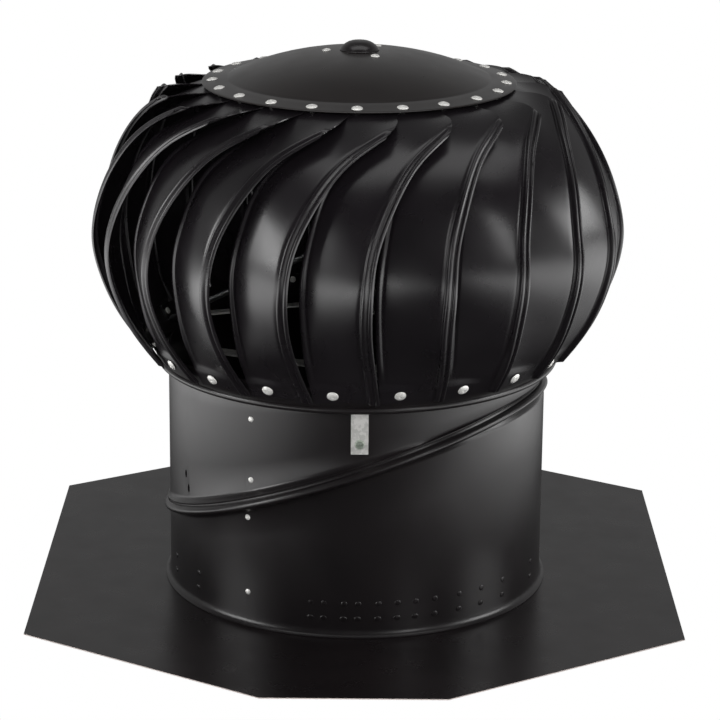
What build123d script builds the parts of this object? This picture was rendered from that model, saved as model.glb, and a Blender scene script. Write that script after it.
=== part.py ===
from build123d import *
import math
import os

# Roof turbine ventilator with an adjustable-pitch base.
#
# Frame: millimetres, +Z up, origin on the throat's axis at the underside of the flashing.
# Azimuths are in degrees about Z, from -Y towards +X.

# ---------------------------------------------------------------- driving dimensions
SHEET = 0.8  # thickness of every painted sheet

# Flashing: an eight-sided sheet, longer up the roof than down it
FLASHING_HALF_WIDTH = 258.4
FLASHING_FRONT = -271.0
FLASHING_BACK = 315.0
FLASHING_END_HALF = 70.4  # half the length of the front and back edges
FLASHING_SIDE_FRONT = -152.0  # where each side edge starts
FLASHING_SIDE_BACK = 197.0  # where each side edge ends

# Throat: a 12-inch duct made of two collars
COLLAR_RADIUS = 152.9  # outside of both collars
THROAT_TOP = 198.0
NECK_HEIGHT = 27.0  # upturned neck of the flashing, inside the lower collar
FOOT_REACH = 3.5  # how far the collar's foot flares out over the flashing
FOOT_RADIUS = 1.5

# Swivel between the collars: both meet on a circle tilted to the roof
SWIVEL_TILT = 20.0
SWIVEL_UPHILL = -22.0  # direction of the high side, in degrees from +X towards +Y
SWIVEL_CENTRE = (-1.5, -0.5, 116.0)
SWIVEL_WALL_RADIUS = 158.5  # collar wall where it meets the bead, square to the swivel axis
SWIVEL_BEAD_RADIUS = 165.3  # outside of the bead
BEAD_HALF_HEIGHT = 8.0
TRANSITION_HEIGHT = 10.5  # the wall is round again this far from the swivel plane

# Seams
SEAM_AZIMUTH = -32.0
UPPER_SEAM_HEIGHTS = (122.0, 171.5)
LOWER_SEAM_HEIGHTS = (30.0, 90.0)
SLOT_AZIMUTH = -61.6
SLOT_HEIGHTS = (95.0, 106.2)
SLOT_LENGTH = 6.5
SLOT_WIDTH = 2.2

# Rivets
RIVET_TAIL_RATIO = 1.4
RIVET_TAIL_HEIGHT = 1.0

# Turbine head, its outline given as radius and height of the blade beads
PITCH_COUNT = 21
PITCH = 360 / PITCH_COUNT
BLADE_SHEET = 0.7
BEAD_CURVE = (  # radius, azimuth, height of a blade's beaded outer edge, bottom to top
    (171.0, -12.0, 194.0),
    (193.3, -13.7, 224.0),
    (208.7, -15.0, 258.0),
    (214.5, -15.0, 290.0),
    (209.6, -14.0, 320.0),
    (200.8, -11.5, 345.0),
    (190.0, -8.2, 366.0),
    (176.4, -2.9, 386.0),
    (167.5, 2.5, 397.0),
    (160.0, 7.6, 405.0),
)
INNER_CURVE = (  # the same for its plain inner edge, which ends under the cap
    (165.5, -28.0, 195.5),
    (181.0, -29.5, 228.0),
    (188.5, -30.2, 265.0),
    (190.5, -30.0, 300.0),
    (183.0, -28.3, 335.0),
    (172.0, -25.8, 362.0),
    (156.0, -19.8, 384.0),
    (134.0, -8.0, 402.0),
    (112.0, 2.0, 410.8),
    (109.0, 18.5, 412.3),
)
BLADE_BEAD_RADIUS = 2.6  # half-round bead rolled along the outer edge
BLADE_ROWS = 19
BLADE_COLUMNS = 7
BLADE_BELLY = 2.5  # outward crown of the panel at mid height
BLADE_HOLLOW = 3.0  # inward hollow of the panel at the ring

# Lower ring of the head: a rolled bead with a conical flange above it
RING_BEAD_RADIUS = 159.7
RING_BEAD_HEIGHT = 188.6
RING_BEAD_SECTION = 3.0
RING_FLANGE_FOOT = (161.4, 190.5)
RING_FLANGE_TOP = (171.9, 209.5)
RING_RIVET_RADIUS = 169.3
RING_RIVET_HEIGHT = 204.4
RING_RIVET_AZIMUTH = -23.16

# Cap: a flat rim with a shallow dome
CAP_RADIUS = 124.5
CAP_EDGE_HEIGHT = 411.5
CAP_CREASE_RADIUS = 105.0
CAP_CREASE_HEIGHT = 414.5
CAP_TOP_HEIGHT = 436.5
CAP_RIVET_RADIUS = 116.3
CAP_RIVET_HEIGHT = 412.8
CAP_RIVET_AZIMUTH = -0.71

# Bearing cap on top of the dome
HUB_CAP_RADIUS = 15.5
HUB_CAP_TOP = 444.0
HUB_CAP_BASE = 436.6
HUB_RIVET_RADIUS = 26.0
HUB_RIVET_AZIMUTHS = (-92.0, 28.0, 148.0)

# Shaft and bearings
SHAFT_RADIUS = 5.0
JOURNAL_RADIUS = 4.0
SHAFT_BOTTOM = 157.0
SHAFT_TOP = 435.0
BEARING_OUTER = 11.0
BEARING_WIDTH = 7.0
BEARING_LAND_OUTER = 9.6  # inside of the outer race
BEARING_LAND_INNER = 5.4  # outside of the inner race
BALL_RADIUS = 1.8
BALL_CIRCLE = 7.5
BALL_COUNT = 7
UPPER_BEARING_HEIGHT = 421.0
LOWER_BEARING_HEIGHT = 276.0
PRESS_GAP = 0.05

# Brace of three flat arms above and three stays below
BRACE_AZIMUTHS = (1.0, 121.0, 241.0)
BRACE_WIDTH = 13.4
BRACE_SHEET = 1.6
TAB_BOTTOMS = (151.8, 163.6, 151.8)  # the second is cut short above the swivel bead
TAB_SCREW_RISE = 8.0
UPPER_HUB_HEIGHT = 226.0
LOWER_HUB_HEIGHT = 170.0
HUB_PLATE_RADIUS = 20.0
HUB_PLATE_SHEET = 3.0
ARM_INNER_RADIUS = 8.0

# Spokes of the head, from the lower bearing out to the ring
SPOKE_RIVETS = (-5, 2, 9)  # which ring rivets hold them
SPOKE_RADIUS = 2.5
SPOKE_FOOT_WIDTH = 11.0
SPOKE_FOOT_SHEET = 2.0

os.makedirs("parts", exist_ok=True)


# ---------------------------------------------------------------- shared geometry
def polar(radius, azimuth, height):
    """Point at a radius and azimuth about the axis, at a height."""
    angle = math.radians(azimuth)
    return Vector(radius * math.sin(angle), -radius * math.cos(angle), height)


def radial_plane(azimuth):
    """Plane through the axis: local x runs outwards, local y runs up."""
    angle = math.radians(azimuth)
    return Plane(
        origin=(0, 0, 0),
        x_dir=(math.sin(angle), -math.cos(angle), 0),
        z_dir=(-math.cos(angle), -math.sin(angle), 0),
    )


def wall_plane(azimuth, height, radius):
    """Plane on a wall of the given radius, facing outwards."""
    angle = math.radians(azimuth)
    outwards = (math.sin(angle), -math.cos(angle), 0)
    along = (math.cos(angle), math.sin(angle), 0)
    return Plane(origin=polar(radius, azimuth, height), x_dir=along, z_dir=outwards)


def leaning_plane(radius, azimuth, height, lean):
    """Plane whose normal points outwards at an azimuth, raised by lean degrees."""
    angle = math.radians(azimuth)
    rise = math.radians(lean)
    normal = (
        math.cos(rise) * math.sin(angle),
        -math.cos(rise) * math.cos(angle),
        math.sin(rise),
    )
    along = (math.cos(angle), math.sin(angle), 0)
    return Plane(origin=polar(radius, azimuth, height), x_dir=along, z_dir=normal)


def write(builder, name):
    """Label a finished piece and write its file."""
    builder.part.label = name
    export_step(builder.part, f"parts/{name}.step")


def rivet_group(planes, head_radius, head_height, shank_radius, grip):
    """Domed rivets, each with its head on a plane and its tail beyond the grip."""
    with BuildPart() as rivets:
        for plane in planes:
            with BuildSketch(plane):
                Circle(head_radius)
            extrude(amount=head_height * 0.45)
            with BuildSketch(plane.offset(head_height * 0.45)):
                Circle(head_radius)
            with BuildSketch(plane.offset(head_height)):
                Circle(head_radius * 0.55)
            loft()
            with BuildSketch(plane.offset(-grip)):
                Circle(shank_radius)
            extrude(amount=grip)
            with BuildSketch(plane.offset(-grip)):
                Circle(shank_radius * RIVET_TAIL_RATIO)
            extrude(amount=-RIVET_TAIL_HEIGHT)
    return rivets


# ---------------------------------------------------------------- swivel frame
tilt = math.radians(SWIVEL_TILT)
uphill = math.radians(SWIVEL_UPHILL)
swivel_plane = Plane(
    origin=SWIVEL_CENTRE,
    x_dir=(
        math.cos(tilt) * math.cos(uphill),
        math.cos(tilt) * math.sin(uphill),
        math.sin(tilt),
    ),
    z_dir=(
        -math.sin(tilt) * math.cos(uphill),
        -math.sin(tilt) * math.sin(uphill),
        math.cos(tilt),
    ),
)
swivel_axis = Axis(swivel_plane.origin, swivel_plane.z_dir)
swivel_section = Plane(
    origin=swivel_plane.origin,
    x_dir=swivel_plane.x_dir,
    z_dir=-swivel_plane.y_dir,
)


def throat_centre(plane):
    """Local point where the throat's axis crosses a plane parallel to the swivel."""
    normal = plane.z_dir
    height = normal.dot(plane.origin) / normal.Z
    return plane.to_local_coords(Vector(0, 0, height))


def transition(side, inset):
    """Wall from the round collar to the swivel circle, above (1) or below (-1) it."""
    far = swivel_plane.offset(side * TRANSITION_HEIGHT)
    near = swivel_plane.offset(side * BEAD_HALF_HEIGHT)
    centre = throat_centre(far)
    with BuildPart() as wall:
        with BuildSketch(far):
            with Locations((centre.X, centre.Y)):
                Ellipse((COLLAR_RADIUS - inset) / math.cos(tilt), COLLAR_RADIUS - inset)
        with BuildSketch(near):
            Circle(SWIVEL_WALL_RADIUS - inset)
        loft()
    return wall.part


# ---------------------------------------------------------------- base: flashing
with BuildPart() as flashing:
    with BuildSketch():
        Polygon(
            (-FLASHING_END_HALF, FLASHING_FRONT),
            (FLASHING_END_HALF, FLASHING_FRONT),
            (FLASHING_HALF_WIDTH, FLASHING_SIDE_FRONT),
            (FLASHING_HALF_WIDTH, FLASHING_SIDE_BACK),
            (FLASHING_END_HALF, FLASHING_BACK),
            (-FLASHING_END_HALF, FLASHING_BACK),
            (-FLASHING_HALF_WIDTH, FLASHING_SIDE_BACK),
            (-FLASHING_HALF_WIDTH, FLASHING_SIDE_FRONT),
            align=None,
        )
        Circle(COLLAR_RADIUS + 3, mode=Mode.SUBTRACT)
    extrude(amount=SHEET)
    neck_radius = COLLAR_RADIUS - SHEET - PRESS_GAP - SHEET / 2
    with BuildSketch(Plane.XZ):
        with BuildLine() as neck_line:
            FilletPolyline(
                (COLLAR_RADIUS + 4, SHEET / 2),
                (neck_radius, SHEET / 2),
                (neck_radius, NECK_HEIGHT),
                radius=2,
            )
        trace(line_width=SHEET)
    revolve(axis=Axis.Z)
write(flashing, "flashing")

# ---------------------------------------------------------------- base: lower collar
lower_cut = swivel_plane.offset(-TRANSITION_HEIGHT)
with BuildPart() as lower_collar:
    with BuildSketch(Plane.XY.offset(NECK_HEIGHT / 2)):
        Circle(COLLAR_RADIUS)
        Circle(COLLAR_RADIUS - SHEET, mode=Mode.SUBTRACT)
    extrude(amount=THROAT_TOP)
    split(bisect_by=lower_cut, keep=Keep.BOTTOM)
    add(transition(-1, 0))
    add(transition(-1, SHEET), mode=Mode.SUBTRACT)
    with BuildSketch(Plane.XZ):
        with BuildLine():
            FilletPolyline(
                (COLLAR_RADIUS - SHEET / 2, NECK_HEIGHT / 2),
                (COLLAR_RADIUS - SHEET / 2, 4.2),
                (COLLAR_RADIUS + FOOT_REACH, SHEET * 2),
                radius=FOOT_RADIUS,
            )
        trace(line_width=SHEET)
    revolve(axis=Axis.Z)
    # outward lip, held inside the upper collar's bead
    wall_mid = SWIVEL_WALL_RADIUS - SHEET / 2
    with BuildSketch(swivel_section):
        with BuildLine():
            FilletPolyline(
                (wall_mid, -BEAD_HALF_HEIGHT),
                (wall_mid, -4.0),
                (wall_mid + 3.4, -2.4),
                (wall_mid + 3.4, 2.4),
                (wall_mid + 1.0, 3.6),
                radius=0.8,
            )
        trace(line_width=SHEET)
    revolve(axis=swivel_axis)
    for height in LOWER_SEAM_HEIGHTS:
        with BuildSketch(wall_plane(SEAM_AZIMUTH, height, COLLAR_RADIUS - 2)):
            Circle(1.3)
        extrude(amount=4, mode=Mode.SUBTRACT)
write(lower_collar, "lower_collar")

# ---------------------------------------------------------------- throat: upper collar
upper_cut = swivel_plane.offset(TRANSITION_HEIGHT)
with BuildPart() as upper_collar:
    with BuildSketch(Plane.XY):
        Circle(COLLAR_RADIUS)
        Circle(COLLAR_RADIUS - SHEET, mode=Mode.SUBTRACT)
    extrude(amount=THROAT_TOP)
    split(bisect_by=upper_cut, keep=Keep.TOP)
    add(transition(1, 0))
    add(transition(1, SHEET), mode=Mode.SUBTRACT)
    # outward bead that wraps round the lower collar's lip
    bead_mid = SWIVEL_BEAD_RADIUS - SHEET / 2
    with BuildSketch(swivel_section):
        with BuildLine():
            FilletPolyline(
                (wall_mid, BEAD_HALF_HEIGHT),
                (wall_mid + 0.4, BEAD_HALF_HEIGHT - 1.2),
                (bead_mid, BEAD_HALF_HEIGHT - 2.8),
                (bead_mid, 1.4),
                (bead_mid - 1.3, 0),
                (bead_mid, -1.4),
                (bead_mid, 2.2 - BEAD_HALF_HEIGHT),
                (wall_mid + 2.0, 0.4 - BEAD_HALF_HEIGHT),
                radius=0.6,
            )
        trace(line_width=SHEET)
    revolve(axis=swivel_axis)
    for height in UPPER_SEAM_HEIGHTS:
        with BuildSketch(wall_plane(SEAM_AZIMUTH, height, COLLAR_RADIUS - 2)):
            Circle(1.3)
        extrude(amount=4, mode=Mode.SUBTRACT)
    for height in SLOT_HEIGHTS:
        with BuildSketch(wall_plane(SLOT_AZIMUTH, height, COLLAR_RADIUS - 2)):
            SlotOverall(SLOT_LENGTH, SLOT_WIDTH, rotation=90)
        extrude(amount=4, mode=Mode.SUBTRACT)
    for azimuth, bottom in zip(BRACE_AZIMUTHS, TAB_BOTTOMS):
        with BuildSketch(wall_plane(azimuth, bottom + TAB_SCREW_RISE, COLLAR_RADIUS - 2)):
            Circle(2.4)
        extrude(amount=4, mode=Mode.SUBTRACT)
write(upper_collar, "upper_collar")

# ---------------------------------------------------------------- seam rivets
for heights, name in (
    (LOWER_SEAM_HEIGHTS, "lower_seam_rivets"),
    (UPPER_SEAM_HEIGHTS, "upper_seam_rivets"),
):
    seam_planes = [wall_plane(SEAM_AZIMUTH, height, COLLAR_RADIUS) for height in heights]
    write(rivet_group(seam_planes, 2.4, 1.0, 1.2, SHEET + 0.1), name)

# ---------------------------------------------------------------- brace
TAB_FACE = COLLAR_RADIUS + 0.2 + BRACE_SHEET / 2
STAY_FACE = COLLAR_RADIUS - SHEET - 0.25 - BRACE_SHEET / 2
for index, azimuth in enumerate(BRACE_AZIMUTHS):
    screw_height = TAB_BOTTOMS[index] + TAB_SCREW_RISE
    with BuildPart() as brace_arm:
        with BuildSketch(radial_plane(azimuth)):
            with BuildLine():
                FilletPolyline(
                    (TAB_FACE, TAB_BOTTOMS[index]),
                    (TAB_FACE, THROAT_TOP + 1.2),
                    (TAB_FACE - 8, THROAT_TOP + 1.2),
                    (HUB_PLATE_RADIUS + 3, UPPER_HUB_HEIGHT + BRACE_SHEET / 2),
                    (ARM_INNER_RADIUS, UPPER_HUB_HEIGHT + BRACE_SHEET / 2),
                    radius=1.6,
                )
            trace(line_width=BRACE_SHEET)
        extrude(amount=BRACE_WIDTH / 2, both=True)
        with BuildSketch(wall_plane(azimuth, screw_height, COLLAR_RADIUS - 2)):
            Circle(2.4)
        extrude(amount=6, mode=Mode.SUBTRACT)
    write(brace_arm, f"brace_arm_{index + 1}")

    with BuildPart() as brace_stay:
        with BuildSketch(radial_plane(azimuth)):
            with BuildLine():
                FilletPolyline(
                    (STAY_FACE, screw_height - 4.5),
                    (STAY_FACE, screw_height + 8),
                    (HUB_PLATE_RADIUS + 3, LOWER_HUB_HEIGHT + BRACE_SHEET / 2),
                    (ARM_INNER_RADIUS, LOWER_HUB_HEIGHT + BRACE_SHEET / 2),
                    radius=2,
                )
            trace(line_width=BRACE_SHEET)
        extrude(amount=BRACE_WIDTH / 2, both=True)
        with BuildSketch(wall_plane(azimuth, screw_height, COLLAR_RADIUS - 6)):
            Circle(2.4)
        extrude(amount=6, mode=Mode.SUBTRACT)
    write(brace_stay, f"brace_stay_{index + 1}")

# Screws with a cross slot outside, and their square nuts inside
SCREW_HEAD_RADIUS = 3.75
SCREW_HEAD_HEIGHT = 2.4
TAB_OUTSIDE = COLLAR_RADIUS + 0.2 + BRACE_SHEET
with BuildPart() as brace_screws:
    for azimuth, bottom in zip(BRACE_AZIMUTHS, TAB_BOTTOMS):
        height = bottom + TAB_SCREW_RISE
        head_plane = wall_plane(azimuth, height, TAB_OUTSIDE)
        with BuildSketch(head_plane):
            Circle(SCREW_HEAD_RADIUS)
        extrude(amount=SCREW_HEAD_HEIGHT, taper=12)
        with BuildSketch(head_plane.offset(-9)):
            Circle(2.2)
        extrude(amount=9)
        with BuildSketch(head_plane.offset(SCREW_HEAD_HEIGHT - 1.1)):
            with Locations(Rotation(0, 0, 20)):
                Rectangle(4.6, 0.9)
                Rectangle(0.9, 4.6)
        extrude(amount=2, mode=Mode.SUBTRACT)
write(brace_screws, "brace_screws")

NUT_FACE = STAY_FACE - BRACE_SHEET / 2
with BuildPart() as brace_nuts:
    for azimuth, bottom in zip(BRACE_AZIMUTHS, TAB_BOTTOMS):
        with BuildSketch(wall_plane(azimuth, bottom + TAB_SCREW_RISE, NUT_FACE)):
            RegularPolygon(4.2, 6)
            Circle(2.25, mode=Mode.SUBTRACT)
        extrude(amount=-2.4)
write(brace_nuts, "brace_nuts")

for height, name in ((UPPER_HUB_HEIGHT, "upper_hub_plate"), (LOWER_HUB_HEIGHT, "lower_hub_plate")):
    with BuildPart() as hub_plate:
        with BuildSketch(Plane.XY.offset(height)):
            Circle(HUB_PLATE_RADIUS)
            Circle(SHAFT_RADIUS + PRESS_GAP, mode=Mode.SUBTRACT)
        extrude(amount=-HUB_PLATE_SHEET)
    write(hub_plate, name)

# Nuts clamp the shaft to each hub plate, over a washer that holds the arms down
NUT_WIDTH_RADIUS = 8.6
NUT_HEIGHT = 7.0
WASHER_RADIUS = 13.0
WASHER_SHEET = 1.5
with BuildPart() as shaft_nuts:
    for height in (UPPER_HUB_HEIGHT, LOWER_HUB_HEIGHT):
        for base, rise in (
            (height + BRACE_SHEET + WASHER_SHEET, NUT_HEIGHT),
            (height - HUB_PLATE_SHEET, -NUT_HEIGHT),
        ):
            with BuildSketch(Plane.XY.offset(base)):
                RegularPolygon(NUT_WIDTH_RADIUS, 6)
                Circle(SHAFT_RADIUS + PRESS_GAP, mode=Mode.SUBTRACT)
            extrude(amount=rise)
write(shaft_nuts, "shaft_nuts")

with BuildPart() as shaft_washers:
    for height in (UPPER_HUB_HEIGHT, LOWER_HUB_HEIGHT):
        with BuildSketch(Plane.XY.offset(height + BRACE_SHEET)):
            Circle(WASHER_RADIUS)
            Circle(SHAFT_RADIUS + PRESS_GAP, mode=Mode.SUBTRACT)
        extrude(amount=WASHER_SHEET)
write(shaft_washers, "shaft_washers")

# ---------------------------------------------------------------- shaft
with BuildPart() as shaft:
    with BuildSketch(Plane.XY.offset(SHAFT_BOTTOM)):
        Circle(SHAFT_RADIUS)
    extrude(amount=LOWER_BEARING_HEIGHT - SHAFT_BOTTOM)
    with BuildSketch(Plane.XY.offset(LOWER_BEARING_HEIGHT)):
        Circle(JOURNAL_RADIUS)
    extrude(amount=SHAFT_TOP - LOWER_BEARING_HEIGHT)
    chamfer(shaft.faces().sort_by(Axis.Z)[0].edges(), length=1)
    chamfer(shaft.faces().sort_by(Axis.Z)[-1].edges(), length=0.6)
write(shaft, "shaft")

# ---------------------------------------------------------------- bearings
for height, name in ((LOWER_BEARING_HEIGHT, "lower_bearing"), (UPPER_BEARING_HEIGHT, "upper_bearing")):
    with BuildPart() as inner_race:
        with BuildSketch(Plane.XY.offset(height)):
            Circle(BEARING_LAND_INNER)
            Circle(JOURNAL_RADIUS + PRESS_GAP, mode=Mode.SUBTRACT)
        extrude(amount=BEARING_WIDTH)
    write(inner_race, f"{name}_inner_race")

    with BuildPart() as outer_race:
        with BuildSketch(Plane.XY.offset(height)):
            Circle(BEARING_OUTER)
            Circle(BEARING_LAND_OUTER, mode=Mode.SUBTRACT)
        extrude(amount=BEARING_WIDTH)
    write(outer_race, f"{name}_outer_race")

    with BuildPart() as ball_cage:
        with PolarLocations(BALL_CIRCLE, BALL_COUNT):
            with Locations((0, 0, height + BEARING_WIDTH / 2)):
                Sphere(BALL_RADIUS)
        with BuildSketch(Plane.XY.offset(height + BEARING_WIDTH / 2)):
            Circle(BALL_CIRCLE + 0.6)
            Circle(BALL_CIRCLE - 0.6, mode=Mode.SUBTRACT)
        extrude(amount=0.5, both=True)
    write(ball_cage, f"{name}_ball_cage")

# ---------------------------------------------------------------- head: lower ring
flange_slope = math.atan2(
    RING_FLANGE_TOP[0] - RING_FLANGE_FOOT[0], RING_FLANGE_TOP[1] - RING_FLANGE_FOOT[1]
)
ring_lean = -math.degrees(flange_slope)
with BuildPart() as lower_ring:
    with BuildSketch(Plane.XZ):
        with Locations((RING_BEAD_RADIUS, RING_BEAD_HEIGHT)):
            Circle(RING_BEAD_SECTION)
        with BuildLine():
            Line(RING_FLANGE_FOOT, RING_FLANGE_TOP)
        trace(line_width=SHEET)
    revolve(axis=Axis.Z)
    for index in range(PITCH_COUNT):
        rivet_azimuth = RING_RIVET_AZIMUTH + index * PITCH
        hole_plane = leaning_plane(RING_RIVET_RADIUS, rivet_azimuth, RING_RIVET_HEIGHT, ring_lean)
        with BuildSketch(hole_plane):
            Circle(2.2)
        extrude(amount=3, both=True, mode=Mode.SUBTRACT)
write(lower_ring, "lower_ring")


def flange_radius(height):
    """Outside radius of the ring's flange at a height."""
    rise = (height - RING_FLANGE_FOOT[1]) * math.tan(flange_slope)
    return RING_FLANGE_FOOT[0] + rise + SHEET / 2 / math.cos(flange_slope)


# ---------------------------------------------------------------- head: dome cap
dome_rise = CAP_TOP_HEIGHT - CAP_CREASE_HEIGHT
dome_points = []
for share in (0.115, 0.3, 0.5, 0.7, 0.86, 1.0):
    dome_points.append(
        (CAP_CREASE_RADIUS * share, CAP_TOP_HEIGHT - dome_rise * share**2.2)
    )
with BuildPart() as dome_cap:
    with BuildSketch(Plane.XZ):
        with BuildLine():
            Spline(*dome_points)
            Line(dome_points[-1], (CAP_RADIUS, CAP_EDGE_HEIGHT))
            Line((CAP_RADIUS, CAP_EDGE_HEIGHT), (CAP_RADIUS, CAP_EDGE_HEIGHT - SHEET))
            Line((CAP_RADIUS, CAP_EDGE_HEIGHT - SHEET), (CAP_CREASE_RADIUS, CAP_CREASE_HEIGHT - SHEET))
            Spline(*[(radius, height - SHEET) for radius, height in dome_points])
            Line(dome_points[0], (dome_points[0][0], dome_points[0][1] - SHEET))
        make_face()
    revolve(axis=Axis.Z)
    with PolarLocations(CAP_RIVET_RADIUS, PITCH_COUNT, start_angle=CAP_RIVET_AZIMUTH - 90):
        with Locations((0, 0, CAP_EDGE_HEIGHT)):
            Cylinder(2.2, 8, mode=Mode.SUBTRACT)
    for azimuth in HUB_RIVET_AZIMUTHS:
        with Locations(polar(HUB_RIVET_RADIUS, azimuth, CAP_TOP_HEIGHT)):
            Cylinder(1.9, 8, mode=Mode.SUBTRACT)
write(dome_cap, "dome_cap")


def rim_underside(radius):
    """Height of the underside of the cap's rim at a radius."""
    share = (radius - CAP_CREASE_RADIUS) / (CAP_RADIUS - CAP_CREASE_RADIUS)
    return CAP_CREASE_HEIGHT - share * (CAP_CREASE_HEIGHT - CAP_EDGE_HEIGHT) - SHEET


# ---------------------------------------------------------------- head: bearing cap
with BuildPart() as bearing_cap:
    with BuildSketch(Plane.XZ):
        with BuildLine():
            Line((0, HUB_CAP_TOP), (5, HUB_CAP_TOP - 0.3))
            Spline(
                (5, HUB_CAP_TOP - 0.3),
                (10, HUB_CAP_TOP - 1.8),
                (13.6, HUB_CAP_TOP - 4.6),
                (HUB_CAP_RADIUS, HUB_CAP_BASE + 0.7),
            )
            Line((HUB_CAP_RADIUS, HUB_CAP_BASE + 0.7), (HUB_CAP_RADIUS, HUB_CAP_BASE))
            Line((HUB_CAP_RADIUS, HUB_CAP_BASE), (12.6, HUB_CAP_BASE + 0.5))
            Spline(
                (12.6, HUB_CAP_BASE + 0.5),
                (11.0, HUB_CAP_TOP - 4.4),
                (8.0, HUB_CAP_TOP - 2.2),
                (4.0, HUB_CAP_TOP - 1.2),
            )
            Line((4.0, HUB_CAP_TOP - 1.2), (0, HUB_CAP_TOP - 1.1))
            Line((0, HUB_CAP_TOP - 1.1), (0, HUB_CAP_TOP))
        make_face()
    revolve(axis=Axis.Z)
write(bearing_cap, "bearing_cap")

# ---------------------------------------------------------------- head: upper bearing housing
HOUSING_PLATE_TOP = 433.2
HOUSING_PLATE_RADIUS = 31.0
with BuildPart() as upper_housing:
    with BuildSketch(Plane.XZ):
        Polygon(
            (BEARING_OUTER + PRESS_GAP, HOUSING_PLATE_TOP),
            (HOUSING_PLATE_RADIUS, HOUSING_PLATE_TOP - 1.0),
            (HOUSING_PLATE_RADIUS, HOUSING_PLATE_TOP - 2.4),
            (BEARING_OUTER + 2.0, HOUSING_PLATE_TOP - 1.8),
            (BEARING_OUTER + 2.0, UPPER_BEARING_HEIGHT - 1.6),
            (BEARING_OUTER - 2.0, UPPER_BEARING_HEIGHT - 1.6),
            (BEARING_OUTER - 2.0, UPPER_BEARING_HEIGHT - PRESS_GAP),
            (BEARING_OUTER + PRESS_GAP, UPPER_BEARING_HEIGHT - PRESS_GAP),
            align=None,
        )
    revolve(axis=Axis.Z)
    for azimuth in HUB_RIVET_AZIMUTHS:
        with Locations(polar(HUB_RIVET_RADIUS - 0.35, azimuth, HOUSING_PLATE_TOP)):
            Cylinder(1.9, 8, mode=Mode.SUBTRACT)
write(upper_housing, "upper_bearing_housing")

# ---------------------------------------------------------------- head: lower bearing housing
SPOKE_HUB_RADIUS = 19.0
with BuildPart() as lower_housing:
    with BuildSketch(Plane.XZ):
        Polygon(
            (BEARING_OUTER + PRESS_GAP, LOWER_BEARING_HEIGHT + BEARING_WIDTH + 2),
            (SPOKE_HUB_RADIUS, LOWER_BEARING_HEIGHT + BEARING_WIDTH + 2),
            (SPOKE_HUB_RADIUS, LOWER_BEARING_HEIGHT - 4),
            (BEARING_OUTER - 2.0, LOWER_BEARING_HEIGHT - 4),
            (BEARING_OUTER - 2.0, LOWER_BEARING_HEIGHT - PRESS_GAP),
            (BEARING_OUTER + PRESS_GAP, LOWER_BEARING_HEIGHT - PRESS_GAP),
            align=None,
        )
    revolve(axis=Axis.Z)
write(lower_housing, "lower_bearing_housing")

# ---------------------------------------------------------------- head: spokes
# Each is a rod from the lower housing, flattened where a ring rivet holds it inside the flange.
foot_gap = SHEET / 2 + SPOKE_FOOT_SHEET / 2 + 0.45
foot_centre_radius = RING_RIVET_RADIUS - foot_gap * math.cos(flange_slope)
foot_centre_height = RING_RIVET_HEIGHT + foot_gap * math.sin(flange_slope)
for number, step in enumerate(SPOKE_RIVETS):
    spoke_azimuth = RING_RIVET_AZIMUTH + step * PITCH
    with BuildPart() as spoke:
        foot_plane = leaning_plane(foot_centre_radius, spoke_azimuth, foot_centre_height, ring_lean)
        with BuildSketch(foot_plane):
            Rectangle(SPOKE_FOOT_WIDTH, 14)
            Circle(2.2, mode=Mode.SUBTRACT)
        extrude(amount=SPOKE_FOOT_SHEET / 2, both=True)
        rod_end = polar(foot_centre_radius - 5.0, spoke_azimuth, foot_centre_height - 5.0)
        rod_start = polar(SPOKE_HUB_RADIUS + 0.05, spoke_azimuth, LOWER_BEARING_HEIGHT + 2.5)
        rod_plane = Plane(origin=rod_start, z_dir=rod_end - rod_start)
        with BuildSketch(rod_plane):
            Circle(SPOKE_RADIUS)
        extrude(amount=(rod_end - rod_start).length)
        with Locations(rod_end):
            Sphere(SPOKE_RADIUS)
        split(
            bisect_by=Plane(
                origin=polar(SPOKE_HUB_RADIUS + 1.2, spoke_azimuth, LOWER_BEARING_HEIGHT),
                z_dir=polar(1, spoke_azimuth, 0),
            ),
            keep=Keep.TOP,
        )
    write(spoke, f"head_spoke_{number + 1}")


# ---------------------------------------------------------------- head: blades
def smooth_step(value):
    """Rise from 0 to 1 as the value goes from 0 to 1, level at both ends."""
    value = min(max(value, 0), 1)
    return value * value * (3 - 2 * value)


def seated(point):
    """Keep a point of the blade outside the ring's flange and under the cap's rim."""
    radius = math.hypot(point.X, point.Y)
    clearance = BLADE_SHEET / 2 + 0.35
    if point.Z < RING_FLANGE_TOP[1] + 4:
        lowest = flange_radius(point.Z) + clearance / math.cos(flange_slope)
        if radius < lowest:
            point = Vector(point.X * lowest / radius, point.Y * lowest / radius, point.Z)
    if radius < CAP_RADIUS + 3:
        point = Vector(point.X, point.Y, min(point.Z, rim_underside(radius) - clearance))
    return point


bead_edge = Edge.make_spline([polar(*point) for point in BEAD_CURVE])
inner_edge = Edge.make_spline([polar(*point) for point in INNER_CURVE])
head_centre = Vector(0, 0, 300)


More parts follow.
